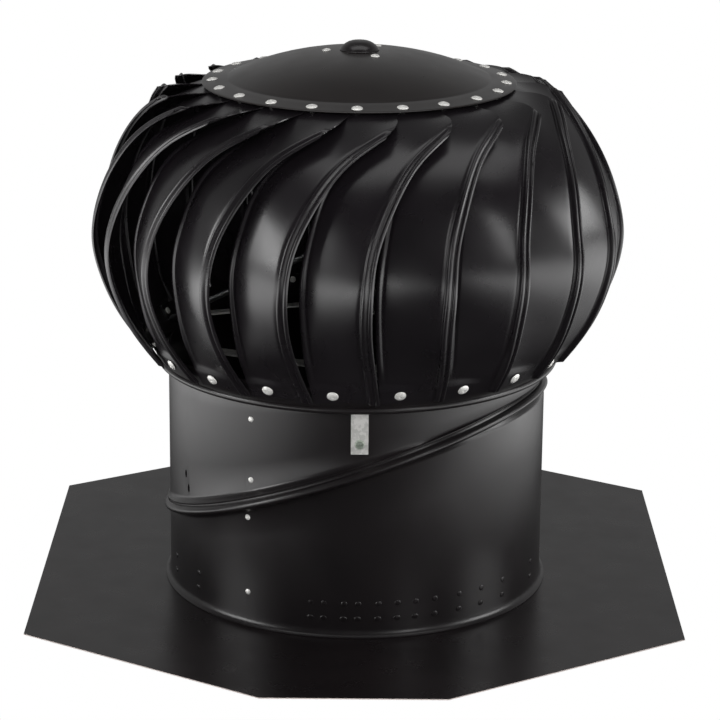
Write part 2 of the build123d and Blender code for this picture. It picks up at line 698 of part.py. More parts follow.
def blade_row(share):
    """Points across the blade, from its bead to its inner edge, at a share of its length."""
    outer = bead_edge @ share
    across = (inner_edge @ share) - outer
    normal = (bead_edge % share).cross(across).normalized()
    if normal.dot(outer - head_centre) < 0:
        normal = normal * -1
    width = across.length
    direction = across.normalized()
    crown = BLADE_BELLY * smooth_step((share - 0.12) / 0.2) * smooth_step((1 - share) / 0.25)
    hollow = BLADE_HOLLOW * (1 - smooth_step(share / 0.2))
    row = []
    for column in range(BLADE_COLUMNS):
        part = column / (BLADE_COLUMNS - 1)
        inwards = BLADE_BEAD_RADIUS + (width - BLADE_BEAD_RADIUS) * part
        bulge = 4 * part * (1 - part) * (crown - hollow)
        drop = BLADE_BEAD_RADIUS * (1 - part) - bulge
        row.append(seated(outer + direction * inwards - normal * drop))
    return row


blade_points = [blade_row(row / (BLADE_ROWS - 1)) for row in range(BLADE_ROWS)]
blade_face = Face.make_surface_from_array_of_points(blade_points, tol=0.2, min_deg=3, max_deg=5)
bead_line = Edge.make_spline([row[0] for row in blade_points[::3]])

with BuildPart() as blade_master:
    thicken(blade_face, amount=BLADE_SHEET / 2, both=True)
    with BuildSketch(Plane(origin=bead_line @ 0, z_dir=bead_line % 0)):
        Circle(BLADE_BEAD_RADIUS)
    sweep(path=bead_line)
    ring_hole = leaning_plane(RING_RIVET_RADIUS, RING_RIVET_AZIMUTH, RING_RIVET_HEIGHT, ring_lean)
    with BuildSketch(ring_hole):
        Circle(2.2)
    extrude(amount=6, both=True, mode=Mode.SUBTRACT)
    for azimuth in (CAP_RIVET_AZIMUTH, CAP_RIVET_AZIMUTH + PITCH):
        with Locations(polar(CAP_RIVET_RADIUS - 0.35, azimuth, CAP_RIVET_HEIGHT)):
            Cylinder(2.2, 12, mode=Mode.SUBTRACT)

for index in range(PITCH_COUNT):
    with BuildPart() as blade:
        add(blade_master.part.rotate(Axis.Z, index * PITCH))
    write(blade, f"blade_{index + 1:02d}")

# ---------------------------------------------------------------- head: rivets
blade_seat = SHEET / 2 + BLADE_SHEET + 1.5
ring_rivet_planes = []
cap_rivet_planes = []
rim_fall = math.degrees(
    math.atan2(CAP_CREASE_HEIGHT - CAP_EDGE_HEIGHT, CAP_RADIUS - CAP_CREASE_RADIUS)
)
for index in range(PITCH_COUNT):
    ring_plane = leaning_plane(
        RING_RIVET_RADIUS, RING_RIVET_AZIMUTH + index * PITCH, RING_RIVET_HEIGHT, ring_lean
    )
    ring_rivet_planes.append(ring_plane.offset(blade_seat))
    cap_rivet_planes.append(
        leaning_plane(
            CAP_RIVET_RADIUS,
            CAP_RIVET_AZIMUTH + index * PITCH,
            CAP_RIVET_HEIGHT + 0.2,
            90 - rim_fall,
        )
    )
write(rivet_group(ring_rivet_planes, 4.0, 1.8, 1.9, blade_seat + 3.0), "ring_rivets")
write(rivet_group(cap_rivet_planes, 4.0, 1.6, 1.9, 5.8), "cap_rivets")

hub_rivet_planes = []
for azimuth in HUB_RIVET_AZIMUTHS:
    share = HUB_RIVET_RADIUS / CAP_CREASE_RADIUS
    dome_height = CAP_TOP_HEIGHT - dome_rise * share**2.2
    hub_rivet_planes.append(leaning_plane(HUB_RIVET_RADIUS, azimuth, dome_height + 0.05, 90 - 4.9))
write(rivet_group(hub_rivet_planes, 3.6, 1.4, 1.7, 5.6), "bearing_cap_rivets")
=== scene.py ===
"""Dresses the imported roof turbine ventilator: smooth sheet metal, rivets, paint, light and camera."""

import logging
import math
from dataclasses import dataclass, field
from enum import Enum

import bpy
import numpy as np
from mathutils import Matrix, Vector

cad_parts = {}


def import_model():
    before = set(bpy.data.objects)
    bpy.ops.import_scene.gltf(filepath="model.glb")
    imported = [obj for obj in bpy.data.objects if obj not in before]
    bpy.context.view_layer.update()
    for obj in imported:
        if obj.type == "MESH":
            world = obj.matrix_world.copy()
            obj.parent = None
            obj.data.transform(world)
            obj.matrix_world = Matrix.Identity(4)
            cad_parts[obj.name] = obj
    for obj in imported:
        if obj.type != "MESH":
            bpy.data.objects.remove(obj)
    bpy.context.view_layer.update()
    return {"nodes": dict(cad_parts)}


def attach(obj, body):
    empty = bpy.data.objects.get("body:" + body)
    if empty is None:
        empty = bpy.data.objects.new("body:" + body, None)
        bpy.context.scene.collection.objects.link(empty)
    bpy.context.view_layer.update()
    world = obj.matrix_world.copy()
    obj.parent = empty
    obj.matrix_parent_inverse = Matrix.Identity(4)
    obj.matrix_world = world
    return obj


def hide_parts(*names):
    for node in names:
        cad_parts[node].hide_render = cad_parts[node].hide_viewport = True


LOG = logging.getLogger("roof_turbine")
MM = 0.001
PITCH_COUNT = 21
PITCH = 360 / PITCH_COUNT

# the ring's sloping flange, in millimetres
FLANGE_RADIUS = 161.4
FLANGE_FOOT = 190.5
FLANGE_FLARE = 10.5
FLANGE_RISE = 19.0
FLANGE_TOP = FLANGE_FOOT + FLANGE_RISE

# the cap over the blades: a dome with a flat rim, in millimetres
DOME_RADIUS = 105.0
DOME_TOP = 436.5
DOME_DROP = 22.0
CAP_RADIUS = 124.5
RIM_HEIGHT = 414.5
RIM_DROP = 3.0
CAP_SHEET = 0.8


# ---------------------------------------------------------------- shared geometry
def polar(radius: float, azimuth: float, height: float) -> Vector:
    """Gives the point at a radius and azimuth about the axis, at a height.

    Args:
        radius: distance from the axis in millimetres.
        azimuth: degrees about Z, from -Y towards +X.
        height: millimetres above the underside of the flashing.

    Returns:
        The point in metres.
    """
    angle = math.radians(azimuth)
    return Vector((radius * math.sin(angle), -radius * math.cos(angle), height)) * MM


def ease(value: float) -> float:
    """Rises smoothly from 0 to 1 as the value goes from 0 to 1."""
    value = min(max(value, 0.0), 1.0)
    return value * value * (3 - 2 * value)


def dome_height(share: float) -> float:
    """Gives the height of the dome's skin at a share of its radius, in millimetres."""
    return DOME_TOP - DOME_DROP * share**2.2


class Curve:
    """A smooth line through given points, measured by its share of their summed chords."""

    def __init__(self, points: list[tuple[float, ...]]) -> None:
        """Keeps the points and the share at which the line passes each.

        Args:
            points: the points that the line passes, each a tuple of coordinates.
        """
        self.points = np.array(points, float)
        steps = np.linalg.norm(np.diff(self.points, axis=0), axis=1)
        self.shares = np.concatenate(([0.0], np.cumsum(steps))) / steps.sum()
        gaps = np.diff(self.shares)
        rises = np.diff(self.points, axis=0) / gaps[:, None]
        last = len(gaps)
        system = np.zeros((last + 1, last + 1))
        goal = np.zeros_like(self.points)
        system[0, :2], goal[0] = (2, 1), 3 * rises[0]
        system[last, -2:], goal[last] = (1, 2), 3 * rises[-1]
        for i in range(1, last):
            before, after = gaps[i - 1], gaps[i]
            system[i, i - 1 : i + 2] = (after, 2 * (before + after), before)
            goal[i] = 3 * (after * rises[i - 1] + before * rises[i])
        self.slopes = np.linalg.solve(system, goal)

    def at(self, share: float) -> np.ndarray:
        """Gives the line's point at a share of its length.

        Args:
            share: 0 at the first point and 1 at the last.

        Returns:
            The point's coordinates.
        """
        last = len(self.shares) - 2
        index = int(min(max(np.searchsorted(self.shares, share) - 1, 0), last))
        span = self.shares[index + 1] - self.shares[index]
        part = (share - self.shares[index]) / span
        square, cube = part * part, part**3
        return (
            self.points[index] * (2 * cube - 3 * square + 1)
            + self.slopes[index] * span * (cube - 2 * square + part)
            + self.points[index + 1] * (3 * square - 2 * cube)
            + self.slopes[index + 1] * span * (cube - square)
        )


# ---------------------------------------------------------------- modelling steps
def deselect() -> None:
    """Leaves object mode with nothing selected."""
    if bpy.context.object and bpy.context.object.mode != "OBJECT":
        bpy.ops.object.mode_set(mode="OBJECT")
    bpy.ops.object.select_all(action="DESELECT")


def choose(piece: bpy.types.Object) -> None:
    """Makes one piece the only selected and active one."""
    deselect()
    piece.select_set(True)
    bpy.context.view_layer.objects.active = piece


def apply_modifier(piece: bpy.types.Object, kind: str, **settings: object) -> None:
    """Adds a modifier to a piece and applies it.

    Args:
        piece: the piece to change.
        kind: the modifier's type.
        settings: the modifier's own settings.
    """
    choose(piece)
    modifier = piece.modifiers.new(kind.title(), kind)
    for name, value in settings.items():
        setattr(modifier, name, value)
    bpy.ops.object.modifier_apply(modifier=modifier.name)


def shade(piece: bpy.types.Object, degrees: float = 40) -> None:
    """Shades a piece smooth, with edges sharper than an angle left hard."""
    choose(piece)
    bpy.ops.object.shade_smooth_by_angle(angle=math.radians(degrees))


def turn(name: str, profile: list[tuple[float, float]], steps: int = 180) -> bpy.types.Object:
    """Spins a profile once round the axis.

    Args:
        name: the piece's name.
        profile: radius and height of each corner in millimetres, in order.
        steps: how many flats the turned piece has.

    Returns:
        The turned piece, with its doubles merged and its faces outwards.
    """
    deselect()
    bpy.ops.mesh.primitive_plane_add(size=0.001)
    piece = bpy.context.object
    piece.name = name
    bpy.ops.object.mode_set(mode="EDIT")
    bpy.ops.mesh.merge(type="CENTER")
    bpy.ops.transform.translate(value=(profile[0][0] * MM, 0, profile[0][1] * MM))
    for (radius, height), (last_radius, last_height) in zip(profile[1:], profile):
        step = ((radius - last_radius) * MM, 0, (height - last_height) * MM)
        bpy.ops.mesh.extrude_region_move(TRANSFORM_OT_translate={"value": step})
    bpy.ops.mesh.select_all(action="SELECT")
    bpy.ops.mesh.spin(steps=steps, angle=math.tau, center=(0, 0, 0), axis=(0, 0, 1))
    bpy.ops.mesh.select_all(action="SELECT")
    bpy.ops.mesh.remove_doubles(threshold=0.00001)
    bpy.ops.mesh.normals_make_consistent(inside=False)
    bpy.ops.object.mode_set(mode="OBJECT")
    return piece


def drape(name: str, rows: list[list[Vector]], ring: bool = False) -> bpy.types.Object:
    """Lays a grid through rows of points.

    Args:
        name: the piece's name.
        rows: points of each row, in metres.
        ring: whether each row's last point meets its first.

    Returns:
        The sheet.
    """
    deselect()
    across, along = len(rows[0]), len(rows)
    bpy.ops.mesh.primitive_grid_add(x_subdivisions=across - 1, y_subdivisions=along - 1)
    piece = bpy.context.object
    piece.name = name
    places = np.array([tuple(point) for row in rows for point in row], np.float32)
    piece.data.vertices.foreach_set("co", places.ravel())
    piece.data.update()
    if ring:
        bpy.ops.object.mode_set(mode="EDIT")
        bpy.ops.mesh.select_all(action="SELECT")
        bpy.ops.mesh.remove_doubles(threshold=0.00001)
        bpy.ops.object.mode_set(mode="OBJECT")
    return piece


def face_outwards(piece: bpy.types.Object) -> None:
    """Turns an open sheet's faces away from the axis if most of them look towards it."""
    sway = 0.0
    for face in piece.data.polygons:
        sway += face.area * (face.normal.x * face.center.x + face.normal.y * face.center.y)
    if sway < 0:
        piece.data.flip_normals()


def thicken(piece: bpy.types.Object, sheet: float, offset: float = -1.0) -> None:
    """Gives an open sheet its thickness in millimetres, inwards for an offset of -1."""
    apply_modifier(piece, "SOLIDIFY", thickness=sheet * MM, offset=offset, use_even_offset=True)


def stand_on(master: bpy.types.Object, name: str, places: list[Matrix]) -> bpy.types.Object:
    """Copies a small piece to several places and joins the copies.

    Args:
        master: the piece modelled at the origin, with its outside towards +Z.
        name: the joined piece's name.
        places: where each copy goes.

    Returns:
        The joined piece.
    """
    copies = []
    for place in places:
        copy = master.copy()
        copy.data = master.data.copy()
        copy.data.transform(place)
        bpy.context.collection.objects.link(copy)
        copies.append(copy)
    deselect()
    for copy in copies:
        copy.select_set(True)
    bpy.context.view_layer.objects.active = copies[0]
    bpy.ops.object.join()
    joined = bpy.context.object
    joined.name = name
    bpy.data.objects.remove(master)
    return joined


def facing(radius: float, azimuth: float, height: float, lean: float) -> Matrix:
    """Gives the place of a fixing whose head looks outwards.

    Args:
        radius: distance of its seat from the axis in millimetres.
        azimuth: degrees about the axis.
        height: millimetres above the underside of the flashing.
        lean: degrees by which its head looks up.

    Returns:
        The matrix that carries the fixing there.
    """
    rise = math.radians(lean)
    outwards = polar(1000, azimuth, 0) * math.cos(rise) + Vector((0, 0, math.sin(rise)))
    along = polar(1000, azimuth + 90, 0)
    up = outwards.cross(along)
    turn_to = Matrix((along, up, outwards)).transposed().to_4x4()
    return Matrix.Translation(polar(radius, azimuth, height)) @ turn_to


# ---------------------------------------------------------------- finishes
SHEARED_EDGE = "#b3a9a5"  # bare steel where the painted sheet was cut


def tone(code: str) -> tuple[float, float, float, float]:
    """Turns an sRGB hex code to the linear colour that a shader reads."""
    parts = [int(code[i : i + 2], 16) / 255 for i in (1, 3, 5)]
    linear = [p / 12.92 if p <= 0.04045 else ((p + 0.055) / 1.055) ** 2.4 for p in parts]
    return (*linear, 1.0)


def add_node(
    tree: bpy.types.NodeTree, kind: str, settings: dict[str, object], inputs: dict[str | int, object]
) -> bpy.types.Node:
    """Adds a node, with its settings and what each of its inputs holds or is linked to.

    Args:
        tree: the node tree.
        kind: the node's type.
        settings: the node's own properties.
        inputs: a value or an output socket for each named input.

    Returns:
        The node.
    """
    node = tree.nodes.new(kind)
    for name, value in settings.items():
        setattr(node, name, value)
    for name, value in inputs.items():
        if isinstance(value, bpy.types.NodeSocket):
            tree.links.new(value, node.inputs[name])
        else:
            node.inputs[name].default_value = value
    return node


def blank(name: str) -> tuple[bpy.types.Material, bpy.types.Node, bpy.types.Node]:
    """Starts a material.

    Args:
        name: the material's name.

    Returns:
        The material, its shader and its texture coordinates.
    """
    material = bpy.data.materials.new(name)
    material.use_nodes = True
    tree = material.node_tree
    shader = tree.nodes["Principled BSDF"]
    place = add_node(tree, "ShaderNodeTexCoord", {}, {})
    return material, shader, place


def ramp(node: bpy.types.Node, stops: list[tuple[float, tuple[float, float, float, float]]]) -> None:
    """Sets a colour ramp's stops, from position to linear colour."""
    elements = node.color_ramp.elements
    while len(elements) < len(stops):
        elements.new(0.5)
    for element, (position, colour) in zip(elements, stops):
        element.position = position
        element.color = colour


def grey(value: float) -> tuple[float, float, float, float]:
    """Gives a linear grey."""
    return (value, value, value, 1.0)


def noise(
    tree: bpy.types.NodeTree, vector: bpy.types.NodeSocket, scale: float, detail: float, roughness: float
) -> bpy.types.NodeSocket:
    """Adds a noise pattern.

    Args:
        tree: the node tree.
        vector: where the pattern is read.
        scale: its blots to the metre.
        detail: how many finer layers it has.
        roughness: how strongly the finer layers show.

    Returns:
        The pattern's value.
    """
    inputs = {"Vector": vector, "Scale": scale, "Detail": detail, "Roughness": roughness}
    return add_node(tree, "ShaderNodeTexNoise", {}, inputs).outputs["Fac"]


def maths(tree: bpy.types.NodeTree, operation: str, *values: object) -> bpy.types.NodeSocket:
    """Adds a sum of one or two numbers or sockets.

    Args:
        tree: the node tree.
        operation: the sum's kind.
        values: what goes into it.

    Returns:
        The sum's value.
    """
    return add_node(tree, "ShaderNodeMath", {"operation": operation}, dict(enumerate(values))).outputs[0]


def remap(
    tree: bpy.types.NodeTree,
    value: bpy.types.NodeSocket,
    source: tuple[float, float],
    target: tuple[float, float],
    smooth: bool = True,
) -> bpy.types.NodeSocket:
    """Carries a value from one range to another.

    Args:
        tree: the node tree.
        value: the value.
        source: the range that it comes from.
        target: the range that it goes to.
        smooth: whether it eases in and out.

    Returns:
        The carried value.
    """
    settings = {"interpolation_type": "SMOOTHSTEP"} if smooth else {}
    inputs = {"Value": value, "From Min": source[0], "From Max": source[1]}
    inputs |= {"To Min": target[0], "To Max": target[1]}
    return add_node(tree, "ShaderNodeMapRange", settings, inputs).outputs["Result"]


@dataclass(frozen=True)
class SatinEnamel:
    """Baked black polyester enamel on thin steel: a soft gloss with faint orange peel.

    Its sheet's edge is bare metal beyond cut_reach, in metres from the axis, and painted all
    over where that is 0.
    """

    name: str
    dark: str
    light: str
    roughness: float = 0.3
    cut_reach: float = 0.0

    def build(self) -> bpy.types.Material:
        """Makes the enamel.

        Returns:
            The material.
        """
        material, shader, place = blank(self.name)
        tree = material.node_tree
        spot = place.outputs["Object"]
        # dust and handling: the black drifts a little over a hand's breadth
        drift = noise(tree, spot, 9.0, 5.0, 0.6)
        body = add_node(tree, "ShaderNodeValToRGB", {}, {"Fac": drift})
        ramp(body, [(0.35, tone(self.dark)), (0.7, tone(self.light))])
        colour = body.outputs["Color"]
        # smears of different sheen, a few centimetres long
        smear = noise(tree, spot, 30.0, 4.0, 0.55)
        spread = (self.roughness - 0.03, self.roughness + 0.04)
        sheen = remap(tree, smear, (0.3, 0.7), spread, smooth=False)
        tree.links.new(sheen, shader.inputs["Roughness"])
        # orange peel: cells of about 2.5 mm, some ten microns deep
        peel = noise(tree, spot, 380.0, 1.5, 0.45)
        relief = {"Strength": 0.12, "Distance": 0.00008, "Height": peel}
        bump = add_node(tree, "ShaderNodeBump", {}, relief)
        tree.links.new(bump.outputs["Normal"], shader.inputs["Normal"])
        if self.cut_reach:
            colour = self.cut_edge(tree, place, colour)
        tree.links.new(colour, shader.inputs["Base Color"])
        return material

    def cut_edge(
        self,
        tree: bpy.types.NodeTree,
        place: bpy.types.Node,
        colour: bpy.types.NodeSocket,
    ) -> bpy.types.NodeSocket:
        """Bares the sheet's edge beyond the cut's reach, where it was sheared after painting.

        Args:
            tree: the material's nodes.
            place: its texture coordinates.
            colour: the paint's colour.

        Returns:
            The colour with the bare edge in it.
        """
        geometry = add_node(tree, "ShaderNodeNewGeometry", {}, {})
        split = add_node(tree, "ShaderNodeSeparateXYZ", {}, {"Vector": geometry.outputs["Normal"]})
        upright = maths(tree, "ABSOLUTE", split.outputs["Z"])
        level = maths(tree, "LESS_THAN", upright, 0.5)
        flat = add_node(
            tree,
            "ShaderNodeVectorMath",
            {"operation": "MULTIPLY"},
            {0: place.outputs["Object"], 1: (1.0, 1.0, 0.0)},
        )
        reach = add_node(tree, "ShaderNodeVectorMath", {"operation": "LENGTH"}, {0: flat.outputs[0]})
        outer = maths(tree, "GREATER_THAN", reach.outputs["Value"], self.cut_reach)
        bare = maths(tree, "MULTIPLY", level, outer)
        mixed = add_node(
            tree,
            "ShaderNodeMix",
            {"data_type": "RGBA"},
            {"Factor": bare, 6: colour, 7: tone(SHEARED_EDGE)},
        )
        return mixed.outputs[2]


class Grain(Enum):
    """How a bare metal's surface was made."""

    SPANGLED = "zinc flowers from hot dipping"
    TURNED = "fine rings from turning or heading"
    ROLLED = "faint streaks along the sheet"


@dataclass(frozen=True)
class BareMetal:
    """Bare or plated metal, whose grain says how it was made."""

    name: str
    dark: str
    light: str
    grain: Grain
    roughness: float
    metallic: float = 1.0

    def build(self) -> bpy.types.Material:
        """Makes the metal.

        Returns:
            The material.
        """
        material, shader, place = blank(self.name)
        tree = material.node_tree
        shader.inputs["Metallic"].default_value = self.metallic
        spot = place.outputs["Object"]
        if self.grain is Grain.SPANGLED:
            # spangles are about 2.5 mm across
            inputs = {"Vector": spot, "Scale": 420.0, "Randomness": 1.0}
            pattern = add_node(tree, "ShaderNodeTexVoronoi", {"feature": "F1"}, inputs)
            parts = add_node(tree, "ShaderNodeSeparateColor", {}, {"Color": pattern.outputs["Color"]})
            spread = parts.outputs["Red"]
        elif self.grain is Grain.TURNED:
            spread = noise(tree, spot, 900.0, 2.0, 0.5)
        else:
            inputs = {"Vector": spot, "Scale": (1.0, 1.0, 14.0)}
            streaks = add_node(tree, "ShaderNodeMapping", {}, inputs)
            spread = noise(tree, streaks.outputs["Vector"], 60.0, 4.0, 0.6)
        body = add_node(tree, "ShaderNodeValToRGB", {}, {"Fac": spread})
        ramp(body, [(0.25, tone(self.dark)), (0.75, tone(self.light))])
        tree.links.new(body.outputs["Color"], shader.inputs["Base Color"])
        roughness = (self.roughness - 0.06, self.roughness + 0.1)
        dull = remap(tree, spread, (0.0, 1.0), roughness, smooth=False)
        tree.links.new(dull, shader.inputs["Roughness"])
        relief = {"Strength": 0.15, "Distance": 0.00005, "Height": spread}
        bump = add_node(tree, "ShaderNodeBump", {}, relief)
        tree.links.new(bump.outputs["Normal"], shader.inputs["Normal"])
        return material


@dataclass
class Finishes:
    """Every finish on the ventilator, made once."""

    blade: bpy.types.Material = field(init=False)
    shell: bpy.types.Material = field(init=False)
    cap: bpy.types.Material = field(init=False)
    flashing: bpy.types.Material = field(init=False)
    rivet: bpy.types.Material = field(init=False)
    galvanised: bpy.types.Material = field(init=False)
    zinc: bpy.types.Material = field(init=False)
    steel: bpy.types.Material = field(init=False)

    def __post_init__(self) -> None:
        """Builds each material."""
        # metres from the axis beyond which the cap's rim and the flashing show their sheared edge
        cap_reach, flashing_reach = 0.1238, 0.22
        self.blade = SatinEnamel("black_enamel_blade", "#0f0d0f", "#161316", 0.28).build()
        self.shell = SatinEnamel("black_enamel_shell", "#100e0f", "#171415", 0.31).build()
        self.cap = SatinEnamel("black_enamel_cap", "#131010", "#1a1615", 0.3, cap_reach).build()
        self.flashing = SatinEnamel(
            "black_enamel_flashing", "#0f0c0d", "#161213", 0.29, flashing_reach
        ).build()
        self.rivet = BareMetal("aluminium_rivet", "#cfcecb", "#efeeea", Grain.TURNED, 0.5, 0.6).build()
        self.galvanised = BareMetal(
            "galvanised_steel", "#b3b3b0", "#c9c8c5", Grain.SPANGLED, 0.5, 0.55
        ).build()
        self.zinc = BareMetal("zinc_plate", "#a9b5a8", "#d3ddd0", Grain.TURNED, 0.3, 0.8).build()
        self.steel = BareMetal("drawn_steel", "#77787a", "#a2a3a5", Grain.ROLLED, 0.33).build()


def finish_piece(
    piece: bpy.types.Object, body: str, slot: str, material: bpy.types.Material, *nodes: str
) -> None:
    """Gives a new piece its finish and its body, and hides the nodes it stands for.

    Args:
        piece: the finished piece.
        body: the body it moves with.
        slot: not used.
        material: its finish.
        nodes: the nodes that it replaces.
    """
    piece.data.materials.clear()
    piece.data.materials.append(material)
    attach(piece, body)
    if nodes:
        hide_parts(*nodes)
    LOG.info("%s: %d faces, on %s", piece.name, len(piece.data.polygons), body)


# ---------------------------------------------------------------- throat
@dataclass
class Throat:
    """The two collars and the tilted swivel bead between them."""

    finishes: Finishes
    collar: float = 152.9
    sheet: float = 0.8
    top: float = 198.0
    tilt: float = 20.0
    uphill: float = -22.0
    centre: tuple[float, float, float] = (-1.5, -0.5, 116.0)
    wall: float = 158.5
    seam: float = -33.7
    steps: int = 360

    def __post_init__(self) -> None:
        """Works out the swivel plane's normal."""
        tilt, uphill = math.radians(self.tilt), math.radians(self.uphill)
        self.normal = Vector(
            (
                -math.sin(tilt) * math.cos(uphill),
                -math.sin(tilt) * math.sin(uphill),
                math.cos(tilt),
            )
        )

    def swivel(self, azimuth: float, radius: float, offset: float) -> Vector:
        """Gives the point of a swivel circle at an azimuth.

        Args:
            azimuth: degrees about the throat's axis.
            radius: the circle's radius, square to the swivel axis, in millimetres.
            offset: distance above the swivel plane in millimetres.

        Returns:
            The point in metres.
        """
        centre = Vector(self.centre) + self.normal * offset
        angle = math.radians(azimuth)
        level = Vector((math.sin(angle), -math.cos(angle), 0))
        climb = -(level.x * self.normal.x + level.y * self.normal.y) / self.normal.z
        base = Vector((0, 0, self.normal.dot(centre) / self.normal.z))
        line = level + Vector((0, 0, climb))
        gap = base - centre
        square = line.dot(line)
        half = line.dot(gap)
        reach = (-half + math.sqrt(half * half - square * (gap.dot(gap) - radius * radius))) / square
        return (base + line * reach) * MM

    def lap(self, azimuth: float) -> float:
        """Gives how far the overlapping end of a sheet stands out at an azimuth, in millimetres."""
        beyond = azimuth - self.seam
        if beyond < 0 or beyond > 40:
            return 0.0
        return self.sheet * 0.9 * (1 - ease(beyond / 40))

    def azimuths(self) -> list[float]:
        """Gives the azimuth of each edge round a collar, with two close ones at the seam."""
        even = [self.seam + 360 * step / self.steps for step in range(self.steps + 1)]
        return [self.seam + 0.02] + even[1:-1] + [self.seam + 359.93, self.seam + 360.02]

    def upper(self) -> None:
        """Models the upper collar, from its top edge down round the outside of the bead."""
        # radius square to the swivel's axis, and distance above its plane
        bead = Curve(
            [
                (158.6, 3.7),
                (159.9, 3.5),
                (160.3, 3.0),
                (159.7, 2.2),
                (159.9, 1.2),
                (161.8, 0.4),
                (163.9, -0.8),
                (164.9, -2.6),
                (164.5, -4.4),
                (162.6, -5.6),
                (160.0, -5.9),
            ]
        )
        rows = []
        azimuths = self.azimuths()
        for azimuth in azimuths:
            out = self.lap((azimuth - self.seam) % 360 + self.seam)
            wall_foot = self.swivel(azimuth, self.wall, 3.8)
            low = wall_foot.z / MM
            ledge = math.hypot(wall_foot.x, wall_foot.y) / MM - self.collar
            row = [
                polar(self.collar - 1.1 + out, azimuth, self.top - 0.5),
                polar(self.collar - 0.3 + out, azimuth, self.top),
                polar(self.collar + out, azimuth, self.top - 0.6),
            ]
            for share in (0.25, 0.5, 0.75, 1.0):
                row.append(polar(self.collar + out, azimuth, self.top + (low + 4 - self.top) * share))
            row.append(polar(self.collar + ledge * 0.08 + out, azimuth, low + 2.4))
            row.append(polar(self.collar + ledge * 0.35 + out * 0.6, azimuth, low + 1.0))
            row.append(wall_foot)
            for step in range(31):
                radius, offset = bead.at(step / 30)
                row.append(self.swivel(azimuth, radius, offset))
            rows.append(row)
        piece = drape("upper_collar_shell", rows, ring=True)
        face_outwards(piece)
        thicken(piece, self.sheet)
        self.cut_slots(piece)
        shade(piece, 42)
        finish_piece(piece, "throat", "black_paint", self.finishes.shell, "upper_collar")

    def cut_slots(self, piece: bpy.types.Object) -> None:
        """Cuts the two small upright slots beside the seam.

        Args:
            piece: the upper collar.
        """
        for azimuth, height in ((-60.6, 95.3), (-62.4, 106.2)):
            deselect()
            bpy.ops.mesh.primitive_cylinder_add(vertices=20, radius=1.65 * MM, depth=10 * MM)
            cutter = bpy.context.object
            cutter.data.transform(Matrix.Diagonal((1, 2.0, 1, 1)))
            cutter.data.transform(facing(self.collar, azimuth, height, 0))
            apply_modifier(piece, "BOOLEAN", operation="DIFFERENCE", object=cutter, solver="EXACT")
            bpy.data.objects.remove(cutter)

    def lower(self) -> None:
        """Models the lower collar, from inside the bead down to its flared foot."""
        # how far out the foot stands from the collar's wall, and at which height
        foot = [(0.0, 10.0), (0.0, 7.2), (0.25, 5.4), (1.1, 3.6), (2.1, 2.5), (3.1, 1.75), (4.1, 1.35)]
        rows = []
        for azimuth in self.azimuths():
            out = self.lap((azimuth - self.seam) % 360 + self.seam)
            wall_top = self.swivel(azimuth, self.wall, -6.4)
            high = wall_top.z / MM
            ledge = math.hypot(wall_top.x, wall_top.y) / MM - self.collar
            row = [
                self.swivel(azimuth, self.wall + 2.2, 1.5),
                self.swivel(azimuth, self.wall + 2.6, -1.0),
                self.swivel(azimuth, self.wall + 0.8, -3.8),
                self.swivel(azimuth, self.wall, -5.4),
                polar(self.collar + ledge * 0.6 + out * 0.6, azimuth, high - 1.0),
                polar(self.collar + ledge * 0.12 + out, azimuth, high - 2.6),
                polar(self.collar + out, azimuth, high - 4.4),
            ]
            for share in (0.25, 0.5, 0.75):
                row.append(polar(self.collar + out, azimuth, high - 4.4 + (14.4 - high) * share))
            for flare, height in foot:
                row.append(polar(self.collar + flare + out * 0.5, azimuth, height))
            rows.append(row)
        piece = drape("lower_collar_shell", rows, ring=True)
        face_outwards(piece)
        thicken(piece, self.sheet * 0.9)
        shade(piece, 42)
        finish_piece(piece, "base", "black_paint", self.finishes.shell, "lower_collar")

    def crimp_lugs(self) -> None:
        """Models the pressed lugs, in pairs one above the other, that lock the collar to the neck."""
        pairs = (-13.1, -9.2, -3.3, 0.8, 6.8, 12.5, 18.0, 24.1, 32.4, 40.7, 50.2, 68.3)
        lug = turn(
            "crimp_lug",
            [(0.0, 0.62), (0.8, 0.58), (1.4, 0.42), (1.8, 0.1), (1.85, -0.3), (0.0, -0.3)],
            12,
        )
        lug.data.transform(Matrix.Diagonal((1.6, 1.4, 1.15, 1)))
        places = []
        for azimuth in pairs + (-71.5, -55.0):
            places.append(facing(self.collar - 0.1, azimuth, 15.6, -12))
            smaller = Matrix.Diagonal((0.85, 0.9, 0.8, 1))
            places.append(facing(self.collar, azimuth + 0.2, 28.4, 0) @ smaller)
        lugs = stand_on(lug, "crimp_lugs", places)
        shade(lugs, 60)
        finish_piece(lugs, "base", "black_paint", self.finishes.shell)

    def build(self) -> None:
        """Models both collars and the lugs."""
        self.upper()
        self.lower()
        self.crimp_lugs()


